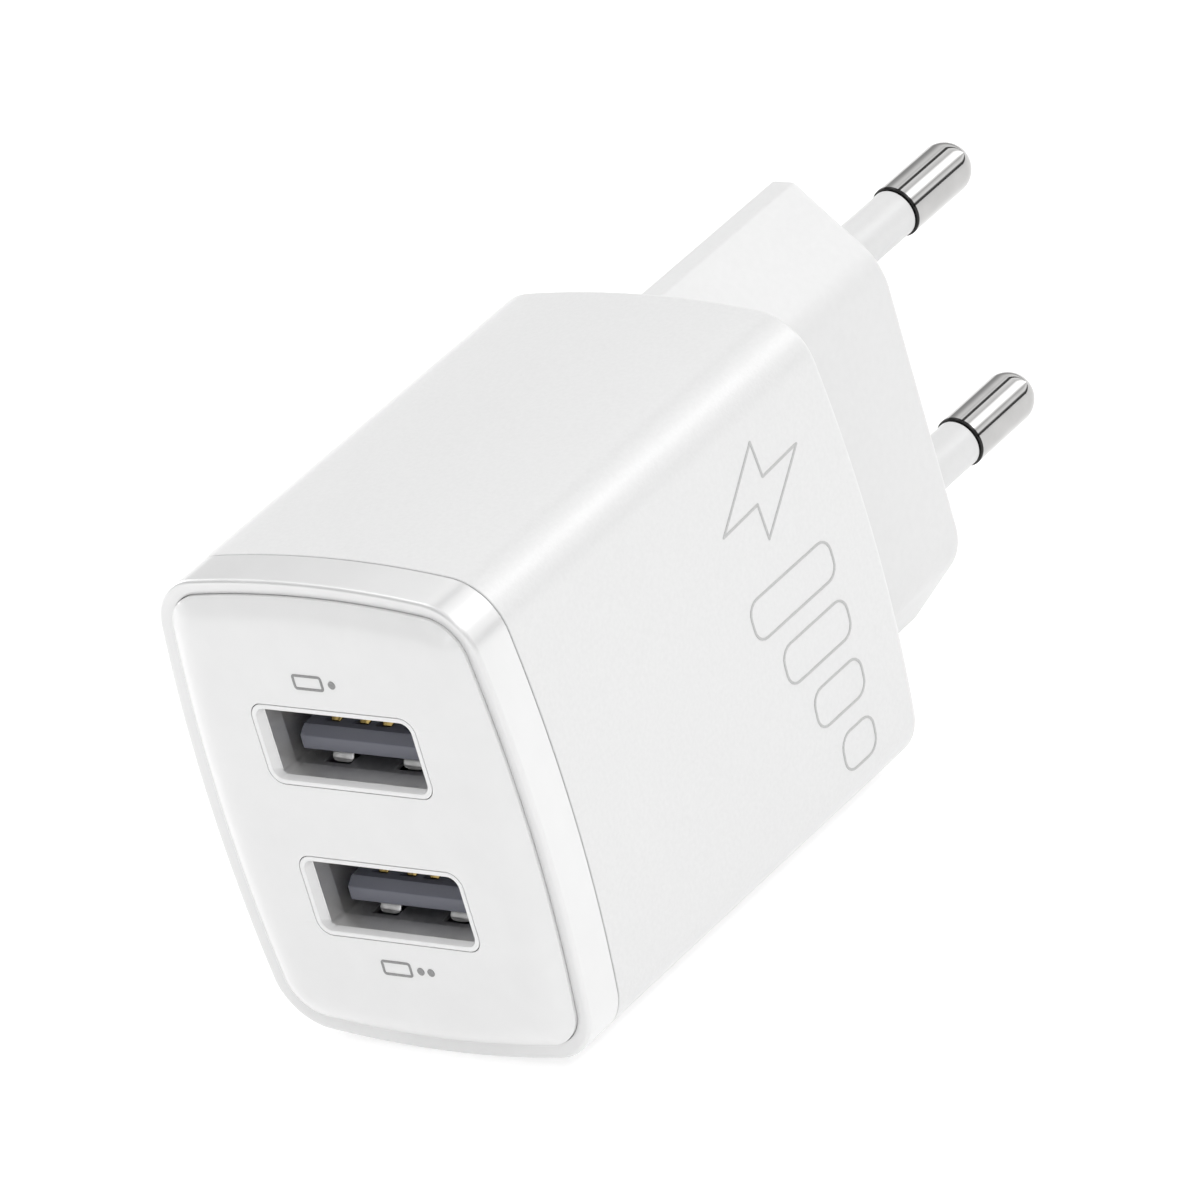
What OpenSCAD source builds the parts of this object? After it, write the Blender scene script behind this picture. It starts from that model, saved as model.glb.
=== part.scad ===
// Two-port USB wall charger with two round mains pins.
// Frame: X across, Y from the ports towards the pins, Z along the line of the two pins.
// The origin is the centre of the plug block's face, midway between the pins. Millimetres.

/* [Case] */
// Width of the case across the middle of its bowed sides
case_w = 29.6; // [29:0.2:32]
// Height of the case across the middle of its bowed top and bottom
case_h = 37.2; // [37:0.2:40]
// How far each side bows out over the height of the case
side_bow = 1.45; // [0.8:0.05:1.6]
// How far the top and the bottom bow out over the width
end_bow = 1.35; // [0.8:0.05:1.5]
// Corner radius of the case
corner_r = 4.4; // [3.8:0.1:5]
// Length of the outer sleeve
shell_len = 37.4; // [37:0.2:42]
// Wall thickness of the outer sleeve
wall = 1.6; // [1.4:0.1:1.7]
// Length of the glossy front ring
ring_len = 3.6; // [3.5:0.1:4]
// How far the crowned panel stands out past the ring
panel_proud = 0.9; // [0.7:0.1:1]

/* [Plug] */
// Length of the plug block, which enters a recessed wall socket
plug_len = 17.8; // [17.5:0.1:19]
// Thickness of the plug block
plug_w = 13.9; // [13.5:0.1:14.4]
// Height of the plug block
plug_h = 35.8; // [35.2:0.1:35.9]
// Distance between the centres of the two pins
pin_spacing = 19; // [18.5:0.1:19.5]
// Diameter of the bare end of a pin
pin_d = 4; // [3.96:0.02:4.06]
// Length of a pin outside the plug block
pin_len = 19; // [18.5:0.1:19.5]
// Length of the insulating sleeve outside the plug block
sleeve_len = 10.5; // [9.5:0.1:10.8]
// Outer diameter of the insulating sleeve
sleeve_d = 3.66; // [3.6:0.02:3.68]

/* [Ports] */
// Distance between the centres of the two ports
port_spacing = 12.1; // [11.8:0.1:12.4]
// Inner width of a socket shell
port_w = 12.5; // [12.4:0.05:12.55]
// Inner height of a socket shell
port_h = 5.12; // [5.08:0.02:5.16]
// Depth of a socket shell
socket_len = 13.1; // [12.8:0.1:13.1]

/* [Hidden] */
$fn = 64;
eps = 0.01;
// Straight steps in each arc of an outline
bow_steps = 6;
corner_steps = 5;

// Stations along Y
shell_back_y = -plug_len;
seam_y = shell_back_y - shell_len;
lip_y = seam_y - ring_len;
face_y = lip_y - panel_proud;
panel_edge_y = lip_y + 0.3;
panel_back_y = lip_y + 1.5;
ledge_y = panel_back_y + 0.1;

// Case outline: four bowed sides, each an arc, joined by corner arcs
half_w = case_w / 2;
half_h = case_h / 2;
side_r = (half_h * half_h + side_bow * side_bow) / (2 * side_bow);
end_r = (half_w * half_w + end_bow * end_bow) / (2 * end_bow);
side_c = [half_w - side_r, 0];
end_c = [0, half_h - end_r];

// Insets of the front pieces from the case outline
lip_inset = 1.15;
ledge_inset = 2.4;
panel_inset = 1.25;
shoulder_inset = 2.2;
crown_inset = 4;
spigot_gap = 0.05;
spigot_len = 2.2;

// Plug block
plug_flat = 1.8;
plug_side_h = 23.3;
plug_corner_r = 4.8;
plug_tip_r = 0.4;
plug_wall = 1.5;
plug_face_t = 3.2;
plug_flange = 1.2;
flange_t = 1.5;
boss_d = 6.4;
boss_len = 4.8;
shank_d = 3;
head_d = 5;
head_t = 1.2;
tail_d = 2;
tail_len = 3;

// Port frames and sockets
frame_w = 14.4;
frame_h = 6.4;
frame_r = 1.2;
groove = 0.06;
mouth_w = 13.5;
mouth_h = 5.56;
mouth_r = 0.9;
mouth_depth = 0.6;
shell_t = 0.35;
flare = 0.15;
flare_len = 1.1;
socket_y = face_y + mouth_depth;
socket_back_y = socket_y + socket_len;

// Tongue, contacts and leaf springs inside a socket
tongue_w = 11.1;
tongue_t = 1.6;
tongue_y = face_y + 2.25;
tongue_chamfer = 0.5;
body_t = 2.2;
contact_x = [-3.5, -1, 1, 3.5];
contact_w = 1;
contact_t = 0.25;
contact_hinge_y = socket_back_y - body_t - 1;
contact_tip_y = tongue_y + 1.7;
contact_rise = 0.3;
slot_side = 0.15;
slot_depth = 0.75;
spring_x = [-3.1, 3.1];
spring_w = 1.9;
spring_t = 0.22;
spring_hinge_y = socket_back_y - 3.6;
spring_tip_y = face_y + 3.1;
spring_rise = 0.5;
window_w = 2.4;
window_front_y = face_y + 2.4;

// Width of a printed line
mark_line = 0.18;

// Boards
board_t = 1.2;
usb_board_y = socket_back_y + 0.6;
usb_board_w = 24;
usb_board_h = 31;
main_board_x = -9.8;
main_board_h = 30.4;
main_board_y0 = usb_board_y + board_t + 0.6;
main_board_y1 = shell_back_y - wall - 2;
part_x = main_board_x + board_t;

// Transformer, its winding axis along X
core_x = 12;
core_y = 6;
core_z = 13;
core_leg = 2;
centre_leg = 3.2;
window_x = 8;
core_base_x = part_x + 1;
transformer_y = main_board_y0 + 9.4;
bobbin_wall = 0.6;
flange_x = 0.8;
bobbin_y = 12;
bobbin_z = 8.8;

// The crossing, in the +X +Z quarter, of two circles with centres p, q and radii rp, rq
function circle_meet(p, rp, q, rq) =
  let (
    d = norm(q - p),
    a = (rp * rp - rq * rq + d * d) / (2 * d),
    h = sqrt(rp * rp - a * a),
    u = (q - p) / d
  )
  p + a * u + h * [-u[1], u[0]];
function unit(v) = v / norm(v);

// Spreads a 2D outline, drawn as X and Z, between two stations along Y
module slab(y0, y1) {
  translate([0, y1, 0])
    rotate([90, 0, 0])
      linear_extrude(height = y1 - y0)
        children();
}

// Spreads a 2D outline, drawn as Y and Z, between two stations along X
module slice_x(x0, x1) {
  translate([x0, 0, 0])
    rotate([90, 0, 90])
      linear_extrude(height = x1 - x0)
        children();
}

module box(low, high) {
  translate(low)
    cube(high - low);
}

module rod_y(x, z, d, y0, y1) {
  translate([x, y1, z])
    rotate([90, 0, 0])
      cylinder(d = d, h = y1 - y0);
}

// Points along an arc from angle a0 to a1, in steps equal parts
function arc(c, r, a0, a1, steps) =
  [for (i = [0 : steps]) c + r * [cos(a0 + (a1 - a0) * i / steps), sin(a0 + (a1 - a0) * i / steps)]];
function angle_of(v) = atan2(v[1], v[0]);

// A polygon whose corners are rounded by arcs, one radius per point, counterclockwise
module soft_polygon(points, radii) {
  n = len(points);
  polygon([for (i = [0 : n - 1])
    let (
      v = points[i],
      a = unit(points[(i + n - 1) % n] - v),
      b = unit(points[(i + 1) % n] - v),
      half = acos(a * b) / 2,
      c = v + unit(a + b) * radii[i] / sin(half),
      middle = angle_of(v - c)
    )
    each arc(c, radii[i], middle - 90 + half, middle + 90 - half, corner_steps)]);
}

module soft_rect(w, h, r) {
  x = w / 2;
  z = h / 2;
  soft_polygon([[-x, -z], [x, -z], [x, z], [-x, z]], [r, r, r, r]);
}

// A quarter of the case outline moved inwards by inset: half a side, a corner, half an end
function case_quarter(inset) =
  let (
    r = max(corner_r - inset, 0.4),
    rs = side_r - inset,
    re = end_r - inset,
    c = circle_meet(side_c, rs - r, end_c, re - r),
    a = angle_of(c - side_c),
    b = angle_of(c - end_c),
    side = arc(side_c, rs, 0, a, bow_steps),
    corner = arc(c, r, a, b, 2 * corner_steps),
    end = arc(end_c, re, b, 90, bow_steps)
  )
  concat(side, [for (i = [1 : 2 * corner_steps]) corner[i]], [for (i = [1 : bow_steps]) end[i]]);

module case_outline(inset) {
  q = case_quarter(inset);
  n = len(q);
  polygon(concat(
    [for (p = q) p],
    [for (i = [1 : n - 1]) [-q[n - 1 - i][0], q[n - 1 - i][1]]],
    [for (i = [1 : n - 1]) [-q[i][0], -q[i][1]]],
    [for (i = [1 : n - 2]) [q[n - 1 - i][0], -q[n - 1 - i][1]]]));
}

// The plug block's six-sided outline, with narrow flats at its two ends, grown by grow
module plug_outline(grow) {
  x = plug_w / 2 + grow;
  z = plug_h / 2 + grow;
  side_z = plug_side_h / 2 + grow * tan(22.5);
  flat_x = plug_flat / 2 + grow * tan(22.5);
  side_corner = plug_corner_r + grow;
  tip = plug_tip_r;
  soft_polygon(
    [[x, -side_z], [x, side_z], [flat_x, z], [-flat_x, z],
     [-x, side_z], [-x, -side_z], [-flat_x, -z], [flat_x, -z]],
    [side_corner, side_corner, tip, tip, side_corner, side_corner, tip, tip]);
}

module main_shell() {
  rail_y0 = main_board_y0;
  rail_y1 = shell_back_y - wall - 1;
  rail_t = 1;
  rail_z = main_board_h / 2 - 1.2;
  color("white") {
    difference() {
      slab(seam_y, shell_back_y)
        case_outline(0);
      slab(seam_y - 1, shell_back_y - wall)
        case_outline(wall);
      slab(shell_back_y - wall - 1, shell_back_y + 1)
        plug_outline(0);
    }
    // Rails that hold the main board's long edges
    for (s = [-1, 1], x = [main_board_x - rail_t - 0.1, main_board_x + board_t + 0.1])
      intersection() {
        box([x, rail_y0, s > 0 ? rail_z : -half_h], [x + rail_t, rail_y1, s > 0 ? half_h : -rail_z]);
        slab(seam_y, shell_back_y)
          case_outline(wall - eps);
      }
  }
}

// Outlined charge bars and a spark, printed on the +X side of the sleeve
module side_mark() {
  ink = 0.04;
  bar_w = 3.2;
  bar_gap = 1.5;
  base_y = shell_back_y - 5;
  base_z = -12.6;
  color("lightgray")
    intersection() {
      difference() {
        slab(seam_y + 1, shell_back_y - 1)
          case_outline(-ink);
        slab(seam_y, shell_back_y)
          case_outline(0);
      }
      slice_x(half_w / 2, half_w + 1) {
        for (i = [0 : 3]) {
          bar_len = 4 + i * 2;
          translate([base_y - bar_len / 2, base_z + i * (bar_w + bar_gap)])
            difference() {
              soft_rect(bar_len, bar_w, 1.2);
              soft_rect(bar_len - 2 * mark_line, bar_w - 2 * mark_line, 1.2 - mark_line);
            }
        }
        translate([base_y - 5, 9.4])
          spark();
      }
    }
}

// A generic spark drawn as one closed line about its middle, with Y and Z as its axes
module spark() {
  points = [[5, 0.9], [-0.7, -3.4], [-0.7, -0.7], [-5, -0.9], [0.7, 3.4], [0.7, 0.7]];
  n = len(points);
  for (i = [0 : n - 1]) {
    a = points[i];
    b = points[(i + 1) % n];
    translate(a)
      rotate(angle_of(b - a))
        translate([0, -mark_line / 2])
          square([norm(b - a), mark_line]);
    translate(a)
      circle(d = mark_line, $fn = 12);
  }
}

module front_ring() {
  color("white") {
    difference() {
      slab(lip_y, seam_y)
        case_outline(0);
      slab(lip_y - 1, ledge_y)
        case_outline(lip_inset);
      slab(ledge_y - eps, seam_y + 1)
        case_outline(ledge_inset);
    }
    // Spigot that enters the sleeve
    difference() {
      slab(seam_y - 1, seam_y + spigot_len)
        case_outline(wall + spigot_gap);
      slab(seam_y - 2, seam_y + spigot_len + 1)
        case_outline(ledge_inset);
    }
  }
}

module front_panel() {
  skin = 0.05;
  shoulder_y = face_y + 0.4;
  color("white")
    difference() {
      union() {
        slab(panel_edge_y, panel_back_y)
          case_outline(panel_inset);
        hull() {
          slab(panel_edge_y, panel_edge_y + skin)
            case_outline(panel_inset);
          slab(shoulder_y, shoulder_y + skin)
            case_outline(shoulder_inset);
          slab(face_y, face_y + skin)
            case_outline(crown_inset);
        }
      }
      for (s = [-1, 1])
        translate([0, 0, s * port_spacing / 2])
          slab(face_y - 1, panel_back_y + 1)
            soft_rect(frame_w, frame_h, frame_r);
    }
}

// A port symbol with one dot above the upper port and two dots below the lower one
module port_marks() {
  ink = 0.04;
  mark_z = port_spacing / 2 + 5.3;
  color("gray")
    for (s = [1, -1])
      translate([0, 0, s * mark_z])
        slab(face_y - ink, face_y) {
          translate([-1.1, 0])
            difference() {
              soft_rect(2.6, 1.2, 0.25);
              soft_rect(2.6 - 2 * mark_line, 1.2 - 2 * mark_line, 0.1);
            }
          for (i = [0 : (s > 0 ? 0 : 1)])
            translate([1 + i * 0.9, 0])
              circle(d = 0.6, $fn = 32);
        }
}

module port_frame(z) {
  color("white")
    translate([0, 0, z])
      difference() {
        slab(face_y, panel_back_y)
          soft_rect(frame_w - 2 * groove, frame_h - 2 * groove, frame_r - groove);
        slab(face_y - 1, socket_y)
          soft_rect(mouth_w, mouth_h, mouth_r);
        slab(socket_y - eps, panel_back_y + 1)
          soft_rect(port_w + 2 * shell_t + 0.06, port_h + 2 * shell_t + 0.06, 0.5);
      }
}

module plug_block() {
  back_y = shell_back_y - wall;
  color("white")
    difference() {
      union() {
        slab(back_y, 0)
          plug_outline(-0.04);
        // Flange behind the sleeve's back wall
        slab(back_y - flange_t, back_y)
          intersection() {
            plug_outline(plug_flange);
            case_outline(wall + spigot_gap);
          }
      }
      difference() {
        slab(back_y - flange_t - 1, -plug_face_t)
          plug_outline(-plug_wall);
        for (s = [-1, 1])
          rod_y(0, s * pin_spacing / 2, boss_d, -plug_face_t - boss_len, 0);
      }
      for (s = [-1, 1]) {
        rod_y(0, s * pin_spacing / 2, sleeve_d, -plug_face_t, 1);
        rod_y(0, s * pin_spacing / 2, shank_d, -plug_face_t - boss_len - 1, 0);
      }
    }
}

// A pin with a bare domed end, a thinner shank in the sleeve, a head and a tail
module mains_pin(z) {
  dome_y = pin_len - pin_d / 2;
  head_y = -plug_face_t - boss_len;
  color("silver") {
    rod_y(0, z, pin_d, sleeve_len, dome_y);
    intersection() {
      translate([0, dome_y, z])
        sphere(d = pin_d);
      box([-pin_d, dome_y, z - pin_d], [pin_d, pin_len + 1, z + pin_d]);
    }
    rod_y(0, z, shank_d, head_y, sleeve_len);
    rod_y(0, z, head_d, head_y - head_t, head_y);
    rod_y(0, z, tail_d, head_y - head_t - tail_len, head_y - head_t);
  }
}

module pin_sleeve(z) {
  color("white")
    difference() {
      rod_y(0, z, sleeve_d, -plug_face_t, sleeve_len);
      rod_y(0, z, shank_d, -plug_face_t - 1, sleeve_len + 1);
    }
}

// A brass strip from a pin's tail, through the plug block, to the main board
module pin_contact(z) {
  strip_t = 0.4;
  strip_w = 3;
  ring_y = -plug_face_t - boss_len - head_t - tail_len;
  bend_x = -4.6;
  end_y = main_board_y1 - 1.5;
  low = z - strip_w / 2;
  high = z + strip_w / 2;
  color("goldenrod") {
    box([bend_x, ring_y - strip_t, low], [1.5, ring_y, high]);
    box([bend_x, end_y, low], [bend_x + strip_t, ring_y, high]);
    box([part_x, end_y, low], [bend_x, end_y + strip_t, high]);
  }
}

// Stamped socket shell with a slight lead-in at its mouth and windows for the leaf springs
module usb_shell(z) {
  out_w = port_w + 2 * shell_t;
  out_h = port_h + 2 * shell_t;
  color("darkgray")
    translate([0, 0, z])
      difference() {
        slab(socket_y, socket_back_y)
          soft_rect(out_w, out_h, 0.45);
        slab(socket_y - 1, socket_back_y - 0.3)
          soft_rect(port_w, port_h, 0.2);
        slab(socket_y - 1, socket_y + flare_len)
          soft_rect(port_w + 2 * flare, port_h + 2 * flare, 0.3);
        for (x = spring_x)
          box([x - window_w / 2, window_front_y, -out_h], [x + window_w / 2, spring_hinge_y, out_h]);
        box([-port_w / 2 + 0.3, socket_back_y - 1, -port_h / 2 + 0.3],
            [port_w / 2 - 0.3, socket_back_y + 1, port_h / 2 - 0.3]);
      }
}

// Dark insulator: a tongue in the lower half of the mouth and a block at the back
module usb_tongue(z) {
  back = socket_back_y - 0.3;
  body_y = back - body_t;
  tip = [
    [tongue_y, -tongue_t],
    [tongue_y, -tongue_chamfer],
    [tongue_y + tongue_chamfer, 0],
    [body_y + 1, 0],
    [body_y + 1, -tongue_t]
  ];
  color("darkslategray")
    translate([0, 0, z])
      difference() {
        union() {
          slice_x(-tongue_w / 2, tongue_w / 2)
            polygon(tip);
          box([-port_w / 2 + 0.05, body_y, -port_h / 2 + 0.05], [port_w / 2 - 0.05, back, port_h / 2 - 0.05]);
        }
        for (x = contact_x) {
          box([x - contact_w / 2 - slot_side, contact_tip_y - 0.4, -slot_depth],
              [x + contact_w / 2 + slot_side, body_y, 1]);
          box([x - contact_w / 2, body_y - eps, -0.3], [x + contact_w / 2, back + 1, -0.3 + contact_t]);
        }
      }
}

// Four gold beams that pivot where they leave the insulator
module usb_contacts(z) {
  low = -0.3;
  beam = [
    [contact_hinge_y, low],
    [contact_tip_y + 1.9, low],
    [contact_tip_y + 0.9, contact_rise - contact_t],
    [contact_tip_y, low],
    [contact_tip_y, low + contact_t],
    [contact_tip_y + 0.7, contact_rise],
    [contact_tip_y + 1.1, contact_rise],
    [contact_tip_y + 2.1, low + contact_t],
    [contact_hinge_y, low + contact_t]
  ];
  color("gold")
    translate([0, 0, z])
      for (x = contact_x)
        slice_x(x - contact_w / 2, x + contact_w / 2)
          polygon(beam);
}

// The fixed ends of the contacts, from the pivot through the insulator to the board
module usb_contact_tails(z) {
  start_y = contact_hinge_y + 0.06;
  color("gold")
    for (x = contact_x)
      box([x - contact_w / 2, start_y, z - 0.3], [x + contact_w / 2, usb_board_y, z - 0.3 + contact_t]);
}

// Two leaf springs in the windows of one wall; side is -1 for the floor and 1 for the roof
module usb_springs(z, side) {
  wall_z = port_h / 2 + shell_t;
  leaf = [
    [spring_hinge_y - 0.1, wall_z],
    [spring_tip_y + 1.7, wall_z - spring_rise - shell_t + 0.05],
    [spring_tip_y + 0.9, wall_z - spring_rise - shell_t + 0.05],
    [spring_tip_y, wall_z - shell_t - 0.05],
    [spring_tip_y, wall_z - shell_t - 0.05 - spring_t],
    [spring_tip_y + 0.8, wall_z - spring_rise - shell_t],
    [spring_tip_y + 1.8, wall_z - spring_rise - shell_t],
    [spring_hinge_y - 0.1, wall_z - spring_t]
  ];
  color("silver")
    translate([0, 0, z])
      for (x = spring_x)
        slice_x(x - spring_w / 2, x + spring_w / 2)
          polygon([for (p = leaf) [p[0], side * p[1]]]);
}

module usb_board() {
  color("darkgreen")
    slab(usb_board_y, usb_board_y + board_t)
      soft_rect(usb_board_w, usb_board_h, 1.5);
}

// Four square pins that join the two boards
module board_link_pins() {
  pin = 0.64;
  pitch = 2;
  reach = 3.4;
  start_y = usb_board_y + board_t;
  color("goldenrod")
    for (i = [0 : 3])
      translate([0, 0, (i - 1.5) * pitch])
        box([part_x, start_y, -pin / 2], [part_x + pin, start_y + reach, pin / 2]);
}

module main_board() {
  color("darkgreen")
    box([main_board_x, main_board_y0, -main_board_h / 2],
        [main_board_x + board_t, main_board_y1, main_board_h / 2]);
}

module insulation_sheet() {
  sheet_x = -half_w + wall + 0.75;
  sheet_t = 0.3;
  sheet_h = 22;
  color("ivory")
    box([sheet_x, main_board_y0, -sheet_h / 2], [sheet_x + sheet_t, main_board_y1, sheet_h / 2]);
}

// Everything of the transformer is drawn about the middle of its core
module at_transformer() {
  translate([core_base_x + core_x / 2, transformer_y, 0])
    children();
}

module block(x, y, z) {
  cube([x, y, z], center = true);
}

module transformer_core() {
  side_window = (core_z - centre_leg) / 2 - core_leg;
  color("dimgray")
    at_transformer()
      difference() {
        block(core_x, core_y, core_z);
        for (s = [-1, 1])
          translate([0, 0, s * (centre_leg + side_window) / 2])
            block(window_x, core_y + 1, side_window);
      }
}

module transformer_bobbin() {
  color("saddlebrown")
    at_transformer()
      difference() {
        union() {
          block(window_x - 0.1, core_y + 2 * bobbin_wall, centre_leg + 2 * bobbin_wall);
          for (s = [-1, 1])
            translate([s * (window_x - 0.1 - flange_x) / 2, 0, 0])
              block(flange_x, bobbin_y, bobbin_z);
        }
        block(window_x + 1, core_y, centre_leg);
      }
}

module transformer_winding() {
  color("peru")
    at_transformer()
      difference() {
        block(window_x - 2 * flange_x - 0.2, bobbin_y - 1.2, bobbin_z - 0.8);
        block(window_x, core_y + 2 * bobbin_wall, centre_leg + 2 * bobbin_wall);
      }
}

module transformer_tape() {
  color("gold")
    at_transformer()
      difference() {
        block(window_x - 2 * flange_x - 0.3, bobbin_y - 0.8, bobbin_z - 0.4);
        block(window_x, bobbin_y - 1.2, bobbin_z - 0.8);
      }
}

module bulk_capacitors() {
  d = 8;
  can_len = 13;
  apart = 22.4;
  start_y = main_board_y0 + 2.5;
  color("midnightblue")
    for (s = [-1, 1])
      rod_y(part_x + d / 2 + 0.1, s * apart / 2, d, start_y, start_y + can_len);
}

module output_capacitors() {
  d = 6.3;
  can_len = 8;
  x = 8.9;
  apart = 15.2;
  start_y = usb_board_y + board_t;
  color("darkgreen")
    for (s = [-1, 1])
      rod_y(x, s * apart / 2, d, start_y, start_y + can_len);
}

module y_capacitor() {
  d = 7;
  thick = 2.5;
  lead = 1;
  mid_y = main_board_y1 - 4.2;
  color("steelblue")
    rod_y(part_x + d / 2 + lead, 0, d, mid_y - thick / 2, mid_y + thick / 2);
}

module input_choke() {
  d = 4;
  tall = 7;
  color("black")
    translate([part_x, main_board_y1 - 4.6, 8.2])
      rotate([0, 90, 0])
        cylinder(d = d, h = tall);
}

module fuse_resistor() {
  d = 3.2;
  body_len = 8;
  lift = 0.3;
  color("tan")
    translate([part_x + d / 2 + lift, main_board_y1 - 4.1, -13])
      cylinder(d = d, h = body_len);
}

// A chip package on the far side of the main board, centred on y and z
module package(y, z, length, width, height) {
  box([main_board_x - height, y - length / 2, z - width / 2], [main_board_x, y + length / 2, z + width / 2]);
}

module bridge_rectifier() {
  color("black")
    package(main_board_y1 - 5, -6, 4.7, 3.9, 1.4);
}

module control_ic() {
  color("black")
    package(main_board_y1 - 11, 3, 4.9, 3.9, 1.4);
}

module output_rectifier() {
  color("black")
    package(main_board_y0 + 4, 7, 4.4, 3.6, 2);
}

// Two rows of small parts, the first on the board's middle line
module chip_parts() {
  pitch = 2.6;
  first_y = main_board_y0 + 3;
  color("sandybrown")
    for (i = [0 : 3], row_z = [0, -7])
      package(first_y + i * pitch, row_z, 1.6, 0.8, 0.5);
}

upper_z = port_spacing / 2;
pin_z = pin_spacing / 2;

main_shell();
side_mark();
front_ring();
front_panel();
port_marks();
port_frame(upper_z);  // port_frame_upper
port_frame(-upper_z);  // port_frame_lower
plug_block();
mains_pin(pin_z);  // pin_upper
mains_pin(-pin_z);  // pin_lower
pin_sleeve(pin_z);  // sleeve_upper
pin_sleeve(-pin_z);  // sleeve_lower
pin_contact(pin_z);  // pin_contact_upper
pin_contact(-pin_z);  // pin_contact_lower
usb_shell(upper_z);  // usb_shell_upper
usb_shell(-upper_z);  // usb_shell_lower
usb_tongue(upper_z);  // usb_tongue_upper
usb_tongue(-upper_z);  // usb_tongue_lower
usb_contacts(upper_z);  // usb_contacts_upper
usb_contacts(-upper_z);  // usb_contacts_lower
usb_contact_tails(upper_z);  // usb_contact_tails_upper
usb_contact_tails(-upper_z);  // usb_contact_tails_lower
usb_springs(upper_z, -1);  // usb_floor_springs_upper
usb_springs(-upper_z, -1);  // usb_floor_springs_lower
usb_springs(upper_z, 1);  // usb_roof_springs_upper
usb_springs(-upper_z, 1);  // usb_roof_springs_lower
usb_board();
board_link_pins();
main_board();
insulation_sheet();
transformer_core();
transformer_bobbin();
transformer_winding();
transformer_tape();
bulk_capacitors();
output_capacitors();
y_capacitor();
input_choke();
fuse_resistor();
bridge_rectifier();
control_ic();
output_rectifier();
chip_parts();
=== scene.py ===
"""Looks of a two-port USB wall charger with two round mains pins, built around its CAD frame.

Frame: X across, Y from the ports towards the pins, Z along the line of the two pins, in metres.
Sizes in this script are written in millimetres and turned into metres where a mesh is made.
"""
import math

import bmesh
import bpy
from mathutils import Matrix, Vector, geometry


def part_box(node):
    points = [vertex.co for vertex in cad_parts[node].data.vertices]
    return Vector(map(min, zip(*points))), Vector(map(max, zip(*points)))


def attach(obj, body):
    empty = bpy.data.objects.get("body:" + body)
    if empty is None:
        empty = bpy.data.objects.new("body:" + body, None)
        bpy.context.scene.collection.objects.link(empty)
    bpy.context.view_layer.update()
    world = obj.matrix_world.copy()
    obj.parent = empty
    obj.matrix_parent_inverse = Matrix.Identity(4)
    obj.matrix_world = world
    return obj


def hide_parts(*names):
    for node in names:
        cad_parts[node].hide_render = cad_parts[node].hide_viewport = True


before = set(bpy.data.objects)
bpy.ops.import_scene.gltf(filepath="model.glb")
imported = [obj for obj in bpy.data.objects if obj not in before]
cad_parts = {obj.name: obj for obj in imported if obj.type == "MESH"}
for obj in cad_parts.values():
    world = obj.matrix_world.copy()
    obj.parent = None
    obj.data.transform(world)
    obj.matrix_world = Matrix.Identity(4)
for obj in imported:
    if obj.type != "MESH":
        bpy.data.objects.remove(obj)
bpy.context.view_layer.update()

MM = 0.001
BODY = "charger"
PORTS = ("upper", "lower")


def node_box(node):
    """A CAD node's lowest and highest corners in millimetres."""
    low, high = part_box(node)
    return Vector(low) / MM, Vector(high) / MM


# ---------------------------------------------------------------- sizes read from the frame
shell_low, shell_high = node_box("main_shell")
ring_low, ring_high = node_box("front_ring")
panel_low, panel_high = node_box("front_panel")
frame_low, frame_high = node_box("port_frame_upper")
socket_low, socket_high = node_box("usb_shell_upper")
pin_low, pin_high = node_box("pin_upper")
pin_sleeve_low, pin_sleeve_high = node_box("sleeve_upper")

HALF_W = shell_high.x
HALF_H = shell_high.z
SHELL_BACK = shell_high.y
SEAM = shell_low.y
LIP = ring_low.y
SPIGOT_END = ring_high.y
FACE = panel_low.y
PANEL_BACK = panel_high.y
PORT_Z = (frame_low.z + frame_high.z) / 2
PIN_Z = (pin_low.z + pin_high.z) / 2
PIN_TIP = pin_high.y
SLEEVE_R = pin_sleeve_high.x
SLEEVE_START = pin_sleeve_low.y
SLEEVE_END = pin_sleeve_high.y
SOCKET = socket_low.y
SOCKET_BACK = socket_high.y

# ---------------------------------------------------------------- sizes the frame doesn't give
# Radii of a pin's bare end and of its shank. A pin's box is wider, because of the collar at its root
PIN_R = 2.0
PIN_SHANK_R = 1.5

# The case: how far its sides and ends bow out, its corners, and how far in each step lies
SIDE_BOW = 1.45
END_BOW = 1.35
CORNER_R = 4.4
LEAST_CORNER_R = 0.4
WALL = 1.6
LIP_INSET = 1.15
LEDGE_INSET = 2.4
PANEL_INSET = 1.18
CROWN_INSET = 4.2
SEAM_GAP = 0.05

# The plug block: half its width and height, where its slanted sides start, and its corners
PLUG_HALF_W = 6.95
PLUG_HALF_H = 17.9
PLUG_SIDE_Z = 11.65
PLUG_END_HALF_W = 0.9
PLUG_SIDE_R = 4.8
PLUG_END_R = 0.45
PLUG_CLEARANCE = 0.04

# The ports: width, height and corner radius of the opening for a surround, the groove round it,
# the size of the soft edges, and how deep the middle of such an edge lies as a share of its size
PORT_FRAME = (14.4, 6.4, 1.2)
GROOVE = 0.06
EDGE_SOFT = 0.04
EDGE_MIDDLE = 0.3

# The sockets: places across the port, stations along the plug's way in, and the shell's steel
SPRING_X = (-3.1, 3.1)
CONTACT_X = (-3.5, -1, 1, 3.5)
WINDOW_W = 2.3
TONGUE_FRONT = FACE + 2.25
INSULATOR_BACK = SOCKET_BACK - 0.3
SHELL_INSIDE_HALF_H = 2.56
SHELL_STEEL = 0.35

# How finely curves are divided
BOW_STEPS = 20
CORNER_STEPS = 22
ARC_STEPS = 5


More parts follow.
